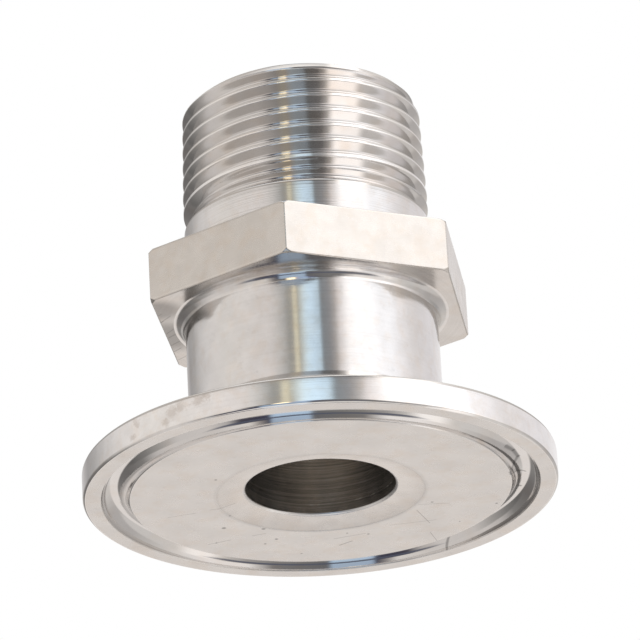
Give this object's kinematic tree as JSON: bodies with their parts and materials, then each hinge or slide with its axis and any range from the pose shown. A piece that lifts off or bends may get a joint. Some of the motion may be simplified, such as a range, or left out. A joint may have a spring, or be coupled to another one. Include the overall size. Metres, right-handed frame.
{
  "type": "sanitary clamp threaded adapter",
  "caption": "One-piece stainless adapter: a sanitary clamp flange with a gasket groove, a plain neck, a spanner hexagon and a tapered male pipe thread, bored right through.",
  "frame": {"origin": "centre of the flange's gasket face, on the bore's axis, at the bottom of the part as it stands", "axes": "+Z along the bore towards the threaded end; -Y towards a corner of the hexagon; +X towards a flat of the hexagon"},
  "size_m": [0.0506, 0.0504, 0.045],
  "materials": {
    "steel": "stainless steel, turned and milled, with fine tool marks"
  },
  "bodies": {
    "root": {"adapter_body": "steel"}
  },
  "joints": []
}
